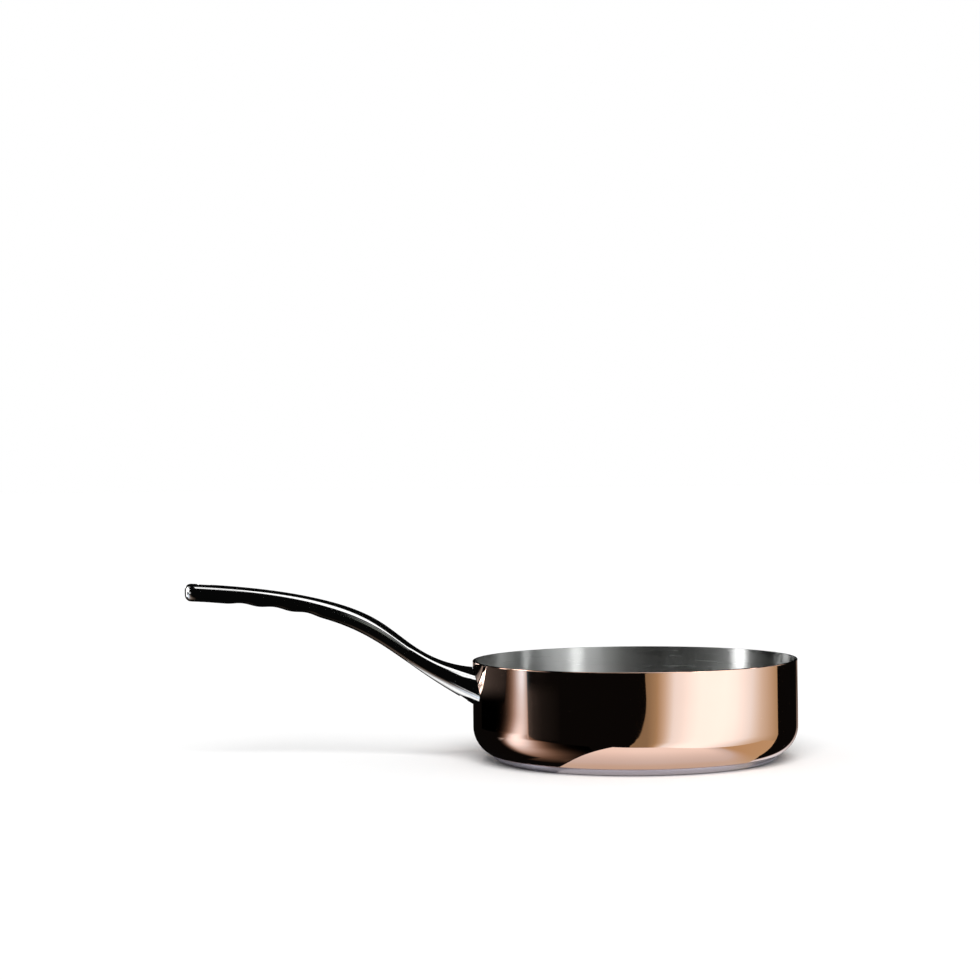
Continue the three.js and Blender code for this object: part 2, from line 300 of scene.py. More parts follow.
# Glowing sheet on the floor between the panel and the pan, seen only in mirrors, with the painted light of a
# pale floor: it begins at a share of its light, over a part of its reach
BACK_FLOOR_AZIMUTHS = (148, 205)
BACK_FLOOR_REACH = (0.135, 1.2)
BACK_FLOOR_LIGHT = 0.8
BACK_FLOOR_FIRST_SHARE = 0.3
BACK_FLOOR_EDGE = 0.3


# Shader graphs

def set_inputs(tree, node, inputs):
    """Sets inputs of a node to values, or links them to outputs of other nodes."""
    for key, value in inputs.items():
        if isinstance(value, bpy.types.NodeSocket):
            tree.links.new(value, node.inputs[key])
        else:
            node.inputs[key].default_value = value


def add_node(tree, kind, inputs=None, **settings):
    """Adds a shader node, sets its properties, and sets or links its inputs."""
    made = tree.nodes.new("ShaderNode" + kind)
    for name, value in settings.items():
        setattr(made, name, value)
    set_inputs(tree, made, inputs or {})
    return made


def math_node(tree, operation, first, second=0.0):
    return add_node(tree, "Math", {0: first, 1: second}, operation=operation).outputs[0]


def map_range(tree, value, low, high, start=0.0, end=1.0):
    limits = {"Value": value, "From Min": start, "From Max": end, "To Min": low, "To Max": high}
    return add_node(tree, "MapRange", limits).outputs["Result"]


def colour_ramp(tree, value, start, end, low, high):
    """Colour that goes from start to end as the value goes from low to high."""
    ramp = add_node(tree, "ValToRGB", {"Fac": value})
    ramp.color_ramp.elements[0].position = low
    ramp.color_ramp.elements[0].color = (*start, 1)
    ramp.color_ramp.elements[1].position = high
    ramp.color_ramp.elements[1].color = (*end, 1)
    return ramp.outputs["Color"]


def empty_material(name):
    """Material with an empty graph, and the input that takes its surface."""
    made = bpy.data.materials.new(name)
    made.use_nodes = True
    tree = made.node_tree
    tree.nodes.clear()
    return made, tree, add_node(tree, "OutputMaterial").inputs["Surface"]


def new_material(name):
    """Material with an empty graph and a Principled shader joined to its output."""
    made, tree, surface = empty_material(name)
    shader = add_node(tree, "BsdfPrincipled")
    tree.links.new(shader.outputs["BSDF"], surface)
    return made, tree, shader


def object_position(tree):
    return add_node(tree, "TexCoord").outputs["Object"]


def noise(tree, place, scale, detail=2.0, roughness=0.5):
    settings = {"Vector": place, "Scale": scale, "Detail": detail, "Roughness": roughness}
    return add_node(tree, "TexNoise", settings).outputs["Fac"]


def turning_lines(tree, lines_per_metre, changes_per_turn, detail):
    """Noise drawn out round the pan's axis, as a turning or brushing tool leaves it."""
    parts = add_node(tree, "SeparateXYZ", {0: object_position(tree)})
    flat = add_node(tree, "CombineXYZ", {"X": parts.outputs["X"], "Y": parts.outputs["Y"]}).outputs[0]
    radius = add_node(tree, "VectorMath", {0: flat}, operation="LENGTH").outputs["Value"]
    round_axis = add_node(tree, "VectorMath", {0: flat}, operation="NORMALIZE").outputs["Vector"]
    around = add_node(tree, "VectorMath", {0: round_axis, "Scale": changes_per_turn}, operation="SCALE")
    height = math_node(tree, "MULTIPLY", parts.outputs["Z"], lines_per_metre)
    upwards = add_node(tree, "CombineXYZ", {"Z": height}).outputs[0]
    place = add_node(tree, "VectorMath", {0: around.outputs["Vector"], 1: upwards}, operation="ADD")
    settings = {
        "Vector": place.outputs["Vector"],
        "W": math_node(tree, "MULTIPLY", radius, lines_per_metre),
        "Scale": 1.0,
        "Detail": detail,
        "Roughness": 0.6,
    }
    return add_node(tree, "TexNoise", settings, noise_dimensions="4D").outputs["Fac"]


def bump(tree, height, distance):
    return add_node(tree, "Bump", {"Height": height, "Distance": distance}).outputs["Normal"]


def brushed_round(tree, amount):
    """Inputs that stretch reflections as fine lines round the pan's axis do."""
    tangent = add_node(tree, "Tangent", direction_type="RADIAL", axis="Z").outputs["Tangent"]
    return {"Anisotropic": amount, "Anisotropic Rotation": ACROSS_LINES, "Tangent": tangent}


def copper_material():
    """Polished copper with faint brush lines round the pan and a slightly uneven tint."""
    made, tree, shader = new_material("polished_copper")
    lines = turning_lines(tree, lines_per_metre=1400, changes_per_turn=3, detail=4)
    wash = noise(tree, object_position(tree), scale=14, detail=3)
    set_inputs(tree, shader, {
        "Base Color": colour_ramp(tree, wash, (0.94, 0.61, 0.47), (0.97, 0.65, 0.51), *NOISE_SPAN),
        "Metallic": 1.0,
        "Roughness": map_range(tree, lines, 0.03, 0.05, *NOISE_SPAN),
        **brushed_round(tree, amount=0.4),
        "Normal": bump(tree, lines, distance=0.000001),
    })
    return made


def lining_material():
    """Brushed stainless steel with lines round the pan."""
    made, tree, shader = new_material("brushed_lining")
    lines = turning_lines(tree, lines_per_metre=1600, changes_per_turn=2, detail=5)
    wash = noise(tree, object_position(tree), scale=20, detail=3)
    set_inputs(tree, shader, {
        "Base Color": colour_ramp(tree, wash, (0.56, 0.565, 0.56), (0.63, 0.635, 0.625), *NOISE_SPAN),
        "Metallic": 1.0,
        "Roughness": map_range(tree, lines, 0.26, 0.34, *NOISE_SPAN),
        **brushed_round(tree, amount=1.0),
        "Normal": bump(tree, lines, distance=0.00001),
    })
    return made


def base_material():
    """Bead-blasted, faintly violet magnetic steel with turning lines."""
    made, tree, shader = new_material("base_steel")
    lines = turning_lines(tree, lines_per_metre=900, changes_per_turn=1.5, detail=4)
    grain = noise(tree, object_position(tree), scale=1600)
    set_inputs(tree, shader, {
        "Base Color": colour_ramp(tree, lines, (0.48, 0.45, 0.52), (0.58, 0.55, 0.62), *NOISE_SPAN),
        "Metallic": 0.6,
        "Roughness": map_range(tree, grain, 0.36, 0.5, *NOISE_SPAN),
        **brushed_round(tree, amount=0.5),
        "Normal": bump(tree, lines, distance=0.00002),
    })
    return made


def cast_material():
    """Polished stainless casting: a mirror with slight waves and fine wear."""
    made, tree, shader = new_material("polished_casting")
    waves = noise(tree, object_position(tree), scale=90)
    wear = noise(tree, object_position(tree), scale=700, detail=4, roughness=0.65)
    set_inputs(tree, shader, {
        "Base Color": colour_ramp(tree, wear, (0.60, 0.60, 0.595), (0.70, 0.70, 0.695), *NARROW_NOISE_SPAN),
        "Metallic": 1.0,
        "Roughness": map_range(tree, wear, 0.065, 0.085, *NOISE_SPAN),
        "Normal": bump(tree, waves, distance=0.00003),
    })
    return made


def rivet_material():
    """Satin steel rivet, brighter where the pan's use has rubbed it."""
    made, tree, shader = new_material("rivet_steel")
    wear = noise(tree, object_position(tree), scale=900, detail=4, roughness=0.6)
    set_inputs(tree, shader, {
        "Base Color": colour_ramp(tree, wear, (0.55, 0.55, 0.545), (0.68, 0.68, 0.67), *NOISE_SPAN),
        "Metallic": 1.0,
        "Roughness": map_range(tree, wear, 0.14, 0.3, *NOISE_SPAN),
        "Normal": bump(tree, wear, distance=0.00001),
    })
    return made


# Numbers and curves

def spread(start, end, steps):
    """Evenly spaced values from start to end, both included."""
    return [start + (end - start) * step / steps for step in range(steps + 1)]


def between(limits, part):
    return limits[0] + (limits[1] - limits[0]) * part


def ease(place, start_place, end_place, start, end):
    """Smooth step from one value to another between two places."""
    part = min(1, max(0, (place - start_place) / (end_place - start_place)))
    return start + (end - start) * part * part * (3 - 2 * part)


def ramp_level(value, stops):
    """Level at a value on straight lines between stops, held beyond the last ones."""
    if value <= stops[0][0]:
        return stops[0][1]
    for (left, low), (right, high) in zip(stops, stops[1:]):
        if value <= right:
            return low + (high - low) * (value - left) / (right - left)
    return stops[-1][1]


def span(stops):
    """Values at the first and the last stop."""
    return stops[0][0], stops[-1][0]


def arc(centre, radius, start, end, steps):
    """Points of a circular arc between two angles in degrees."""
    angles = [math.radians(angle) for angle in spread(start, end, steps)]
    return [(centre[0] + radius * math.cos(a), centre[1] + radius * math.sin(a)) for a in angles]


# Meshes

def mesh_object(name, points, faces, material=None):
    """Object from points and faces, with its normals facing out."""
    mesh = bpy.data.meshes.new(name)
    mesh.from_pydata(points, [], faces)
    shape = bmesh.new()
    shape.from_mesh(mesh)
    bmesh.ops.recalc_face_normals(shape, faces=shape.faces)
    shape.to_mesh(mesh)
    shape.free()
    made = bpy.data.objects.new(name, mesh)
    bpy.context.scene.collection.objects.link(made)
    if material is not None:
        mesh.materials.append(material)
    return made


def smooth(piece):
    piece.data.shade_smooth()
    piece.data.set_sharp_from_angle(angle=SHARP_ANGLE)


def turned_mesh(profile, segments):
    """Points and faces of a closed profile of radius and height turned about Z, with poles on the axis."""
    points = []
    rings = []
    for radius, height in profile:
        first = len(points)
        if radius == 0:
            points.append((0, 0, height))
            rings.append([first] * segments)
            continue
        for turn in range(segments):
            angle = 2 * math.pi * turn / segments
            points.append((radius * math.cos(angle), radius * math.sin(angle), height))
        rings.append(list(range(first, first + segments)))
    faces = []
    for low, high in zip(rings, rings[1:] + rings[:1]):
        for turn in range(segments):
            after = (turn + 1) % segments
            corners = list(dict.fromkeys([low[turn], low[after], high[after], high[turn]]))
            if len(corners) > 2:
                faces.append(corners)
    return points, faces


def skin_faces(rows, count):
    """Faces of a skin through rows of so many points each, with a cap at both ends."""
    faces = []
    for row in range(rows - 1):
        for step in range(count):
            here = row * count + step
            after = row * count + (step + 1) % count
            faces.append((here, after, after + count, here + count))
    faces.append(range(count))
    faces.append(range((rows - 1) * count, rows * count))
    return faces


def cut(piece, cutters):
    """Takes each cutter out of a piece and deletes the cutter."""
    for cutter in cutters:
        step = piece.modifiers.new("cut", "BOOLEAN")
        step.operation = "DIFFERENCE"
        step.solver = "EXACT"
        step.object = cutter
        evaluated = piece.evaluated_get(bpy.context.evaluated_depsgraph_get())
        mesh = bpy.data.meshes.new_from_object(evaluated)
        piece.modifiers.clear()
        old = piece.data
        piece.data = mesh
        mesh.name = piece.name
        bpy.data.meshes.remove(old)
        bpy.data.objects.remove(cutter)


# Pan body

def bowl_face(depth, top):
    """One face of the bowl, a depth inside the copper's outer face, from the axis out and up to a height."""
    radius = CORNER_RADIUS - depth
    floor = base_thickness + depth
    flat = [(r, floor) for r in spread(0, floor_radius, FLOOR_ROWS)]
    corner = arc((floor_radius, corner_height), radius, -90, 0, CORNER_STEPS)
    heights = spread(corner_height, top - RIM_RING_DROP, WALL_ROWS) + [top]
    wall = [(outer_radius - depth, z) for z in heights]
    return flat[:-1] + corner + wall[1:]


def copper_profile():
    centre = (outer_radius - COPPER_RIM_ROUND, rim_height - COPPER_RIM_ROUND)
    rim = arc(centre, COPPER_RIM_ROUND, 0, 90, ROUND_STEPS)
    outside = bowl_face(0, rim_height - COPPER_RIM_ROUND)
    inside = bowl_face(copper_thickness, rim_height)
    return outside[:-1] + rim + inside[::-1]


def lining_profile():
    depth = copper_thickness + LINING_THICKNESS
    centre = (inner_radius + LINING_RIM_ROUND, rim_height - LINING_RIM_ROUND)
    rim = arc(centre, LINING_RIM_ROUND, 90, 180, ROUND_STEPS)
    outside = bowl_face(copper_thickness, rim_height)
    inside = bowl_face(depth, rim_height - LINING_RIM_ROUND)
    return outside + rim + inside[-2::-1]


def base_profile():
    """Disc whose upper face follows the copper and whose edge curves in to the flat that it stands on."""
    wrap = math.degrees(math.asin((seam_radius - floor_radius) / CORNER_RADIUS))
    seat = arc((floor_radius, corner_height), CORNER_RADIUS, -90 + wrap, -90, CORNER_STEPS // 2)
    edge = [
        (seam_radius - BASE_EDGE_INSET * (1 - math.sin(a)), seam_height * (1 - math.cos(a)))
        for a in spread(0, math.pi / 2, CORNER_STEPS)
    ]
    under = [(r, 0.0) for r in spread(0, edge[0][0], FLOOR_ROWS)]
    over = [(r, base_thickness) for r in spread(floor_radius, 0, FLOOR_ROWS)]
    return under[:-1] + edge + seat[1:-1] + over


def place_on_wall(piece, side, drop):
    """Moves a shape made along -X round to its own place on the wall."""
    turn = Matrix.Rotation(-math.asin(side / outer_radius), 4, "Z")
    piece.data.transform(Matrix.Translation((0, 0, rim_height - drop)) @ turn)


def along_wall_axis(profile, segments):
    """Points and faces of a shape turned about the -X axis from pairs of radius and distance out."""
    points, faces = turned_mesh(profile, segments)
    return [(-z, y, x) for x, y, z in points], faces


def rivet_holes():
    """Cutters for the rivet shanks, from inside the bowl to the pocket in the handle."""
    radius = RIVET_SHANK_RADIUS + RIVET_HOLE_CLEARANCE
    start = inner_radius - 2 * RIVET_HEAD_RADIUS
    end = plate_radius + ROOT_POCKET_DEPTH / 2
    holes = []
    for name, (side, drop) in RIVETS.items():
        profile = [(0, start), (radius, start), (radius, end), (0, end)]
        hole = mesh_object(name + "_hole", *along_wall_axis(profile, RIVET_SEGMENTS))
        place_on_wall(hole, side, drop)
        holes.append(hole)
    return holes


def rivet_profile():
    """Low head inside the bowl, shank through the wall, formed tail in the handle's pocket."""
    head_seat = math.sqrt(inner_radius ** 2 - RIVET_HEAD_RADIUS ** 2) - SEAT_GAP
    tail_seat = plate_radius + SEAT_GAP
    quarter = spread(0, math.pi / 2, RIVET_DOME_STEPS)
    head = [
        (
            RIVET_HEAD_RADIUS * math.sin(a),
            head_seat - RIVET_EDGE - (RIVET_HEAD_HEIGHT - RIVET_EDGE) * math.cos(a),
        )
        for a in quarter
    ]
    tail = [
        (
            RIVET_TAIL_RADIUS * math.cos(a),
            tail_seat + RIVET_EDGE + (RIVET_TAIL_HEIGHT - RIVET_EDGE) * math.sin(a),
        )
        for a in quarter[:-1]
    ]
    shank = [
        (RIVET_HEAD_RADIUS, head_seat),
        (RIVET_SHANK_RADIUS, head_seat),
        (RIVET_SHANK_RADIUS, tail_seat),
        (RIVET_TAIL_RADIUS, tail_seat),
    ]
    return head + shank + tail + [(0, tail_seat + RIVET_TAIL_HEIGHT)]


# Handle

def centre_line(along):
    """Point and unit direction of the handle's centre line, as distance out and height above the rim."""
    root = Vector((-HANDLE_ROOT_INSET, -HANDLE_ROOT_DROP))
    tail = Vector((handle_reach, HANDLE_TAIL_RISE))
    pulls = [
        root + HANDLE_ROOT_PULL * Vector((1, math.tan(HANDLE_ROOT_SLOPE))),
        tail - HANDLE_TAIL_PULL * Vector((1, math.tan(HANDLE_TAIL_SLOPE))),
    ]
    ends = [root, *pulls, tail]
    while len(ends) > 2:
        ends = [a.lerp(b, along) for a, b in zip(ends, ends[1:])]
    return ends[0].lerp(ends[1], along), (ends[1] - ends[0]).normalized()


def flare(place):
    """How far the foot of the handle has opened out: 0 from the neck outwards, 1 at the wall."""
    return max(0, 1 - place / NECK_PLACE)


def end_rounding(distance, radius):
    """How much a round end takes off each side at a distance from the end."""
    short = max(0, radius - distance)
    return radius - math.sqrt(radius ** 2 - short ** 2)


def groove_at(place):
    from_tail = handle_reach - GROOVE_FROM_TAIL - place
    if not 0 <= from_tail <= GROOVE_COUNT * GROOVE_PITCH:
        return 0
    return GROOVE_DEPTH * (1 - math.cos(2 * math.pi * from_tail / GROOVE_PITCH)) / 2


def handle_width(place):
    straight = ease(place, NECK_PLACE, GRIP_START, NECK_WIDTH, GRIP_WIDTH)
    return straight + (ROOT_WIDTH - NECK_WIDTH) * flare(place) ** ROOT_WIDTH_FLARE


def handle_thickness(place):
    shoulder = ease(place, NECK_PLACE, SHOULDER_PLACE, NECK_THICKNESS, SHOULDER_THICKNESS)
    grip = ease(place, SHOULDER_PLACE, GRIP_START, 0, GRIP_THICKNESS - SHOULDER_THICKNESS)
    return shoulder + grip + (ROOT_THICKNESS - NECK_THICKNESS) * flare(place) ** ROOT_THICKNESS_FLARE


def squared(value, squareness):
    """Power that keeps the sign, which squares up a circle."""
    return math.copysign(abs(value) ** (2 / squareness), value)


def handle_section(along):
    """Upright section of the handle: a squared round that is wider below than above near the wall."""
    spot, heading = centre_line(along)
    place = spot.x
    opening = flare(place)
    from_end = handle_reach - place
    half_width = handle_width(place) / 2 - end_rounding(from_end, TAIL_PLAN_RADIUS)
    above = (handle_thickness(place) / 2 - end_rounding(from_end, TAIL_EDGE_RADIUS)) / heading.x
    below = above - groove_at(place)
    upper_squareness = between((GRIP_SQUARENESS, ROOT_TOP_SQUARENESS), min(1, opening))
    lower_squareness = between((GRIP_SQUARENESS, ROOT_BOTTOM_SQUARENESS), min(1, opening))
    points = []
    for step in range(SECTION_STEPS):
        angle = 2 * math.pi * step / SECTION_STEPS
        upper = math.sin(angle) > 0
        squareness = upper_squareness if upper else lower_squareness
        rise = squared(math.sin(angle), squareness)
        side = squared(math.cos(angle), squareness)
        taper = 1 - ROOT_TAPER * opening * rise
        height = rim_height + spot.y + rise * (above if upper else below)
        points.append((-outer_radius - place, half_width * taper * side, height))
    return points


def handle_bar():
    """The handle's outer form before it is trimmed: a skin through its sections."""
    # A cubic curve leaves its last point at three times its pull
    tail_start = 1 - TAIL_PLAN_RADIUS / (3 * HANDLE_TAIL_PULL)
    tail = [tail_start + (1 - tail_start) * math.sin(a) for a in spread(0, math.pi / 2, TAIL_STEPS)]
    stations = spread(0, tail_start, HANDLE_STEPS) + tail[1:]
    points = [point for along in stations for point in handle_section(along)]
    return points, skin_faces(len(stations), SECTION_STEPS)


def prism(name, outlines):
    """Closed solid through outlines of the same number of points, one above the other."""
    points = [point for outline in outlines for point in outline]
    return mesh_object(name, points, skin_faces(len(outlines), len(outlines[0])))


def wall_drum(radius):
    """Cutter that trims the handle to the round of the wall."""
    profile = [(0, 0), (radius, 0), (radius, 2 * rim_height), (0, 2 * rim_height)]
    return mesh_object("wall_drum", *turned_mesh(profile, PAN_SEGMENTS))


def root_pocket():
    """Cutter for the pocket under the handle's foot, which clears the rivet tails and opens downwards."""
    radius = RIVET_TAIL_RADIUS + ROOT_POCKET_MARGIN
    top_drop = RIVETS["rivet_top"][1]
    spread_out, low_drop = RIVETS["rivet_left"]
    lean = math.degrees(math.atan2(spread_out, low_drop - top_drop))
    low = rim_height - low_drop
    outline = [(spread_out + radius, 0), (spread_out + radius, low)]
    outline += arc((spread_out, low), radius, 0, lean, POCKET_ARC_STEPS)[1:]
    outline += arc((0, rim_height - top_drop), radius, lean, 180 - lean, POCKET_ARC_STEPS)
    outline += arc((-spread_out, low), radius, 180 - lean, 180, POCKET_ARC_STEPS)
    outline.append((-spread_out - radius, 0))
    depths = (0, plate_radius + ROOT_POCKET_DEPTH)
    pocket = prism("root_pocket", [[(-depth, y, z) for y, z in outline] for depth in depths])
    cut(pocket, [wall_drum(plate_radius)])
    return pocket


def hanging_hole():
    """Cutter for the slot in the tail, wider towards its ends so that the slot's edges are round."""
    radius = HOLE_WIDTH / 2
    outer = outer_radius + handle_reach - HOLE_FROM_TAIL - radius
    inner = outer - HOLE_LENGTH + 2 * radius
    lean = math.tan(HANDLE_TAIL_SLOPE)
    middle = rim_height + HANDLE_TAIL_RISE - lean * (HOLE_FROM_TAIL + HOLE_LENGTH / 2)
    half = GRIP_THICKNESS / 2
    straight = half - HOLE_EDGE_ROUND
    levels = []
    for angle in spread(0, math.pi / 2, ROUND_STEPS):
        rise = straight + HOLE_EDGE_ROUND * math.sin(angle)
        levels.append((rise, HOLE_EDGE_ROUND * (1 - math.cos(angle))))
    levels.append((half + HOLE_EDGE_ROUND, HOLE_EDGE_ROUND))
    levels = [(-rise, wider) for rise, wider in reversed(levels)] + levels
    outlines = []
    for rise, wider in levels:
        ends = arc((-inner, 0), radius + wider, -90, 90, HOLE_ARC_STEPS)
        ends += arc((-outer, 0), radius + wider, 90, 270, HOLE_ARC_STEPS)
        outlines.append([(x, y, middle + rise - lean * (x + (inner + outer) / 2)) for x, y in ends])
    return prism("hanging_hole", outlines)


# Pieces

def dress(piece, node):
    """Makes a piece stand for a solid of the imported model."""
    smooth(piece)
    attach(piece, "root")
    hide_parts(node)


def make_pan():
    copper = mesh_object("pan_copper", *turned_mesh(copper_profile(), PAN_SEGMENTS), copper_material())
    cut(copper, rivet_holes())
    dress(copper, "copper_shell")
    lining = mesh_object("pan_lining", *turned_mesh(lining_profile(), PAN_SEGMENTS), lining_material())
    cut(lining, rivet_holes())
    dress(lining, "steel_lining")
    base = mesh_object("pan_base", *turned_mesh(base_profile(), PAN_SEGMENTS), base_material())
    dress(base, "induction_base")


def make_handle():
    handle = mesh_object("pan_handle", *handle_bar(), cast_material())
    cut(handle, [hanging_hole(), wall_drum(handle_face_radius), root_pocket(), *rivet_holes()])
    dress(handle, "handle")


def make_rivets():
    finish = rivet_material()
    for node, (side, drop) in RIVETS.items():
        rivet = mesh_object("pan_" + node, *along_wall_axis(rivet_profile(), RIVET_SEGMENTS), finish)
        place_on_wall(rivet, side, drop)
        dress(rivet, node)


# Studio

def sheet_material(name):
    """Material for a sheet of the studio that is no lamp, its surface input and the sheet's own level."""
    made, tree, surface = empty_material(name)
    made.cycles.emission_sampling = "NONE"
    return made, tree, surface, add_node(tree, "Attribute", attribute_name="level").outputs["Fac"]


def glow_material(name, dim, bright, low=DIM_LEVEL, high=BRIGHT_LEVEL, see_through=False):
    """Light of a soft box or card at its own level, with one tint where it is dim and one where bright."""
    made, tree, surface, level = sheet_material(name)
    tint = colour_ramp(tree, level, dim, bright, low, high)
    light = add_node(tree, "Emission", {"Color": tint, "Strength": level}).outputs[0]
    if see_through:
        clear = add_node(tree, "BsdfTransparent").outputs[0]
        light = add_node(tree, "AddShader", {0: light, 1: clear}).outputs[0]
    tree.links.new(light, surface)
    return made


def flag_material():
    """Painted dark reflection: a black, faintly glowing sheet that thins out to nothing where its level falls
    to 0.
    """
    made, tree, surface, level = sheet_material("painted_dark_reflection")
    clear = add_node(tree, "BsdfTransparent").outputs[0]
    cloth = add_node(tree, "Emission", {"Color": (*WHITE, 1), "Strength": DARK_LEVEL}).outputs[0]
    mixed = add_node(tree, "MixShader", {"Fac": level, 1: clear, 2: cloth}).outputs[0]
    tree.links.new(mixed, surface)
    return made


def direction(azimuth, elevation):
    """Unit vector at degrees to the right of the camera's side and degrees above the horizon."""
    a = math.radians(azimuth)
    e = math.radians(elevation)
    return Vector((math.sin(a) * math.cos(e), -math.cos(a) * math.cos(e), math.sin(e)))


def on_floor(azimuth, reach, centre=(0, 0), height=CARD_HEIGHT):
    """Point just above the floor, at an azimuth and a reach from a centre."""
    return direction(azimuth, 0) * reach + Vector((*centre, height))


def along_edge(part, edge):
    """Point of the floor at a part of the way along an edge of three corners."""
    near = min(int(part * 2), 1)
    start = Vector(edge[near])
    return start.lerp(Vector(edge[near + 1]), part * 2 - near)


def soft_ends(part, edge):
    """1 in the middle, falling to 0 over an edge at both ends of the parts from 0 to 1."""
    return min(1, part / edge, (1 - part) / edge)


def glow_sheet(name, finish, place, level):
    """Glowing sheet of the studio, no lamp, that paints reflections, as only mirrored light sees it; place
    and level follow two parts from 0 to 1.
    """
    parts = spread(0, 1, SHEET_STEPS)
    points = [place(u, v) for v in parts for u in parts]
    levels = [level(u, v) for v in parts for u in parts]
    width = len(parts)
    faces = []
    for row in range(SHEET_STEPS):
        for column in range(SHEET_STEPS):
            here = row * width + column
            faces.append((here, here + 1, here + width + 1, here + width))
    sheet = mesh_object(name, points, faces, finish)
    sheet.data.attributes.new("level", "FLOAT", "POINT").data.foreach_set("value", levels)
    for ray in ("camera", "diffuse", "shadow", "transmission", "volume_scatter"):
        setattr(sheet, "visible_" + ray, False)


# Dark walls, a faint glow seen only in mirrors: the painted dark of the metal's reflections
def make_walls(finish):
    def place(u, v):
        return direction(between(WALL_AZIMUTHS, u), between(WALL_ELEVATIONS, v)) * WALL_DISTANCE

    glow_sheet("dark_walls", finish, place, lambda u, v: DARK_LEVEL)


def make_side_light(name, finish, elevations, light):
    def place(u, v):
        return direction(between(span(light), u), between(elevations, v)) * LIGHT_DISTANCE

    glow_sheet(name, finish, place, lambda u, v: ramp_level(between(span(light), u), light))


# Painted light of the right box on a table, on a glowing sheet that only mirrors see
def make_painted_table_light(finish):
    def bearing(u, v):
        """Azimuth and reach from the copper's front; the rows crowd together near the pan."""
        reach = between(span(PAINTED_TABLE_LEFT), v ** PAINTED_TABLE_CROWDING)
        right = PAINTED_TABLE_RIGHT + math.degrees(math.asin(PAINTED_TABLE_RIGHT_OFFSET / reach))
        return between((ramp_level(reach, PAINTED_TABLE_LEFT), right), u), reach

    def place(u, v):
        return on_floor(*bearing(u, v), (0, -outer_radius), PAINTED_TABLE_HEIGHT)

    glow_sheet("painted_table_light", finish, place, lambda u, v: ramp_level(bearing(u, v)[0], RIGHT_BOX_LIGHT))


def make_left_glow(finish):
    def aim(u, v):
        """Azimuth and elevation; the rows crowd together near the top."""
        azimuth = between(span(LEFT_GLOW_TOP), u)
        top = ramp_level(azimuth, LEFT_GLOW_TOP)
        return azimuth, between((LEFT_GLOW_LOW, top), 1 - (1 - v) ** 2)

    def level(u, v):
        azimuth, elevation = aim(u, v)
        aside = azimuth - ramp_level(elevation, LEFT_GLOW_CENTRE)
        side = LEFT_GLOW_LEFT_SPREAD if aside < 0 else LEFT_GLOW_RIGHT_SPREAD
        part = aside / ramp_level(elevation, side)
        return ramp_level(elevation, LEFT_GLOW_LIGHT) * math.exp(-part * part)

    glow_sheet("left_glow", finish, lambda u, v: direction(*aim(u, v)) * LIGHT_DISTANCE, level)


def make_left_veil(finish):
    def aim(u, v):
        return between(LEFT_VEIL_AZIMUTHS, u), between(span(LEFT_VEIL_LIGHT), v)

    def level(u, v):
        azimuth, elevation = aim(u, v)
        aside = azimuth - LEFT_VEIL_CENTRE
        part = aside / (LEFT_VEIL_LEFT_SPREAD if aside < 0 else LEFT_VEIL_RIGHT_SPREAD)
        return ramp_level(elevation, LEFT_VEIL_LIGHT) * math.exp(-part * part)

    glow_sheet("left_veil", finish, lambda u, v: direction(*aim(u, v)) * LEFT_VEIL_DISTANCE, level)


def make_room_glow(finish):
    def azimuth(u):
        return between(span(ROOM_GLOW_LIGHT), u)

    def place(u, v):
        return on_floor(azimuth(u), between(ROOM_GLOW_REACH, v), (-outer_radius, 0))

    def level(u, v):
        return ramp_level(azimuth(u), ROOM_GLOW_LIGHT) * ease(v, 0, ROOM_GLOW_EDGE, 0, 1)

    glow_sheet("room_glow", finish, place, level)


# Painted light of a pale floor, on a glowing sheet that only mirrors see
def make_left_floor_painted_light(finish):
    def place(u, v):
        return Vector((between(span(LEFT_FLOOR_X), u), between(span(LEFT_FLOOR_Y), v), CARD_HEIGHT))

    def level(u, v):
        spot = place(u, v)
        return ramp_level(spot.x, LEFT_FLOOR_X) * ramp_level(spot.y, LEFT_FLOOR_Y)

    glow_sheet("left_floor_painted_light", finish, place, level)


def make_flag(finish):
    def place(u, v):
        return Vector((FLAG_X, between(FLAG_Y, u), between(FLAG_Z, v)))

    glow_sheet("dark_flag", finish, place, lambda u, v: ease(place(u, v).y, FLAG_Y[0], FLAG_SOFT_END, 0, 1))


def make_tail_card(finish):
    def place(u, v):
        return Vector((*between(TAIL_CARD_ENDS, u), between(TAIL_CARD_HEIGHTS, v)))

    glow_sheet("tail_card", finish, place, lambda u, v: TAIL_CARD_LIGHT * soft_ends(u, TAIL_CARD_EDGE))


def make_overhead(finish):
    run = OVERHEAD_END - OVERHEAD_START
    across = Vector((-run.y, run.x, 0)).normalized() * OVERHEAD_HALF_WIDTH

    def place(u, v):
        return OVERHEAD_START + run * v + across * (2 * u - 1)

    def side_place(u, v):
        return between((between(OVERHEAD_SIDE_OUTER, v), between(OVERHEAD_SIDE_INNER, v)), u)

    def side_level(u, v):
        return OVERHEAD_LIGHT * min(1, u / OVERHEAD_SIDE_EDGE, v / OVERHEAD_SIDE_EDGE)

    glow_sheet("overhead_strip", finish, place, lambda u, v: OVERHEAD_LIGHT * soft_ends(u, OVERHEAD_EDGE))
    glow_sheet("overhead_side", finish, side_place, side_level)


def make_front_card(finish):
    def place(u, v):
        spot = along_edge(u, CARD_FRONT).lerp(along_edge(u, CARD_BACK), v)
        return Vector((*spot, CARD_HEIGHT))

    def level(u, v):
        spot = place(u, v)
        # Painted shade darkens the glowing card towards the pan
        light = CARD_LIGHT * ease(math.hypot(spot.x, spot.y), *CARD_PAINTED_SHADE_REACH, CARD_PAINTED_SHADE, 1)
        return ease(spot.x, *CARD_RIGHT_X, light, CARD_RIGHT_LIGHT)

    glow_sheet("front_card", finish, place, level)


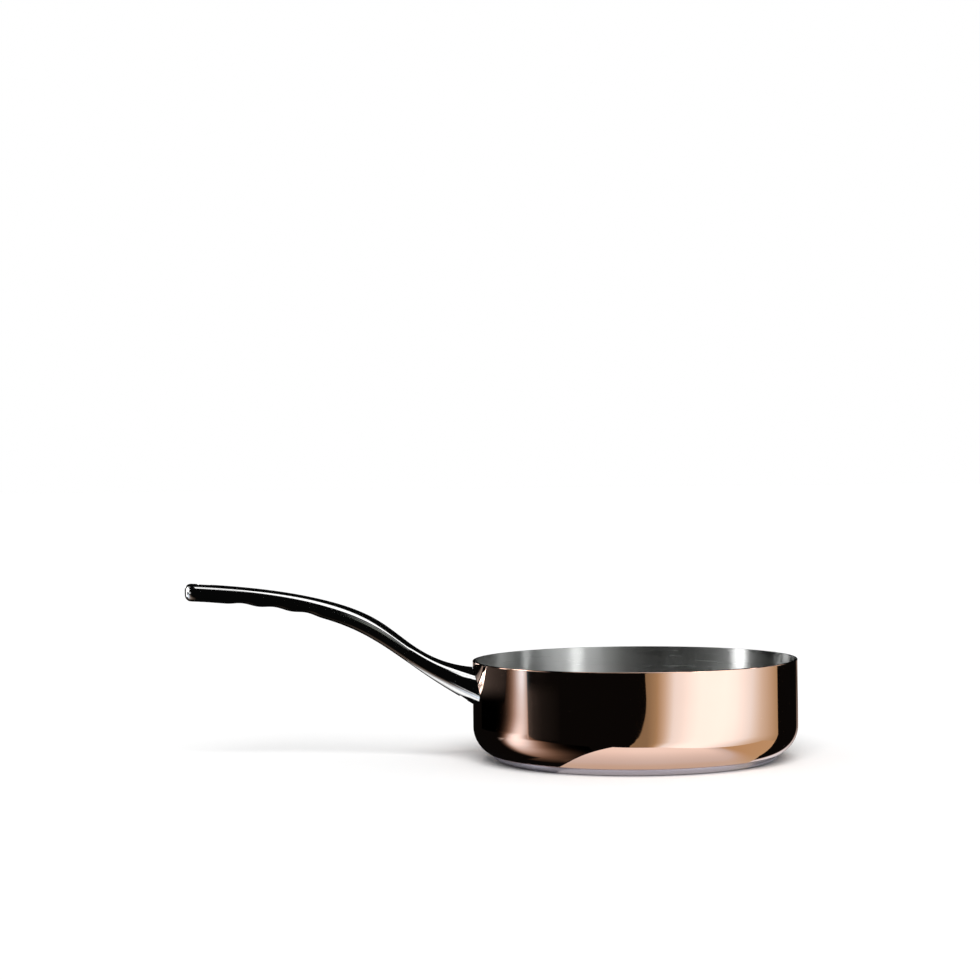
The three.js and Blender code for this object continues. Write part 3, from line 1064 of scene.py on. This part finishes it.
def make_back_panel(finish):
    def azimuth(u):
        return between(span(BACK_PANEL_LIGHT), u)

    def place(u, v):
        return direction(azimuth(u), between(BACK_PANEL_ELEVATIONS, v)) * LIGHT_DISTANCE

    def level(u, v):
        return ramp_level(azimuth(u), BACK_PANEL_LIGHT) * math.sin(math.pi * v)

    glow_sheet("back_panel", finish, place, level)


# Painted light of a pale floor behind the pan, on a glowing sheet that only mirrors see
def make_back_floor_painted_light(finish):
    def place(u, v):
        return on_floor(between(BACK_FLOOR_AZIMUTHS, u), between(BACK_FLOOR_REACH, v * v))

    def level(u, v):
        share = ease(v, 0, BACK_FLOOR_EDGE, BACK_FLOOR_FIRST_SHARE, 1)
        return BACK_FLOOR_LIGHT * math.sin(math.pi * u) * share

    glow_sheet("back_floor_painted_light", finish, place, level)


def make_studio():
    glow = {name: glow_material(name + "_glow", *tints) for name, tints in GLOWS.items()}
    make_walls(glow["neutral"])
    make_side_light("right_soft_box", glow["box"], RIGHT_BOX_ELEVATIONS, RIGHT_BOX_LIGHT)
    for name, (elevations, light) in SIDE_LIGHTS.items():
        make_side_light(name, glow["neutral"], elevations, light)
    make_overhead(glow["neutral"])
    make_left_floor_painted_light(glow["neutral"])
    make_tail_card(glow_material("white_veil", WHITE, WHITE, see_through=True))
    make_left_veil(glow_material("cool_veil", COOL, COOL, see_through=True))
    make_flag(flag_material())
    make_painted_table_light(glow["table"])
    make_front_card(glow["card"])
    make_left_glow(glow["tinted"])
    make_room_glow(glow["neutral"])
    make_back_panel(glow["tinted"])
    make_back_floor_painted_light(glow["tinted"])


def floor_material():
    """Pale matt floor with a barely uneven tone, clear when seen from below."""
    made, tree, surface = empty_material("pale_floor")
    tone = noise(tree, object_position(tree), scale=2)
    matt = add_node(tree, "BsdfPrincipled", {
        "Base Color": colour_ramp(tree, tone, (0.93, 0.93, 0.93), (0.95, 0.95, 0.95), *NOISE_SPAN),
        "Roughness": 0.9,
        "Specular IOR Level": 0.0,
    }).outputs["BSDF"]
    below = add_node(tree, "NewGeometry").outputs["Backfacing"]
    clear = add_node(tree, "BsdfTransparent").outputs[0]
    either = add_node(tree, "MixShader", {"Fac": below, 1: matt, 2: clear}).outputs[0]
    tree.links.new(either, surface)
    return made


def make_floor():
    half = FLOOR_SIZE / 2
    corners = [(-half, -half, 0), (half, -half, 0), (half, half, 0), (-half, half, 0)]
    mesh = bpy.data.meshes.new("floor")
    mesh.from_pydata(corners, [], [(0, 1, 2, 3)])
    mesh.materials.append(floor_material())
    floor = bpy.data.objects.new("floor", mesh)
    bpy.context.scene.collection.objects.link(floor)
    floor.visible_glossy = False


def make_world():
    """White for the camera and in mirrors, and an even soft light for the rest."""
    world = bpy.data.worlds.new("studio")
    bpy.context.scene.world = world
    world.use_nodes = True
    tree = world.node_tree
    tree.nodes.clear()
    path = add_node(tree, "LightPath")
    seen = math_node(tree, "MAXIMUM", path.outputs["Is Camera Ray"], path.outputs["Is Glossy Ray"])
    seen = math_node(tree, "MAXIMUM", seen, path.outputs["Is Transmission Ray"])
    strength = map_range(tree, seen, ROOM_LIGHT, 1.0)
    white = add_node(tree, "Background", {"Color": (*WHITE, 1), "Strength": strength})
    output = add_node(tree, "OutputWorld")
    tree.links.new(white.outputs[0], output.inputs["Surface"])


def make_sun():
    """Wide soft light that fills the floor to white and keeps the pan's shadow."""
    lamp = bpy.data.lights.new("soft_sun", "SUN")
    lamp.energy = SUN_STRENGTH
    lamp.angle = SUN_WIDTH
    sun = bpy.data.objects.new("soft_sun", lamp)
    sun.rotation_euler = SUN_PLACE.to_track_quat("Z", "Y").to_euler()
    sun.visible_glossy = False
    bpy.context.scene.collection.objects.link(sun)


def make_camera():
    lens = bpy.data.cameras.new("camera")
    lens.lens = CAMERA_LENS
    lens.sensor_width = CAMERA_SENSOR
    camera = bpy.data.objects.new("camera", lens)
    level = Matrix.Rotation(math.pi / 2 + CAMERA_PITCH, 4, "X")
    camera.matrix_world = Matrix.Translation(CAMERA_PLACE) @ level @ Matrix.Rotation(CAMERA_ROLL, 4, "Z")
    bpy.context.scene.collection.objects.link(camera)
    bpy.context.scene.camera = camera


make_camera()
make_pan()
make_handle()
make_rivets()
make_studio()
make_floor()
make_world()
make_sun()
bpy.context.scene.view_settings.view_transform = "Standard"
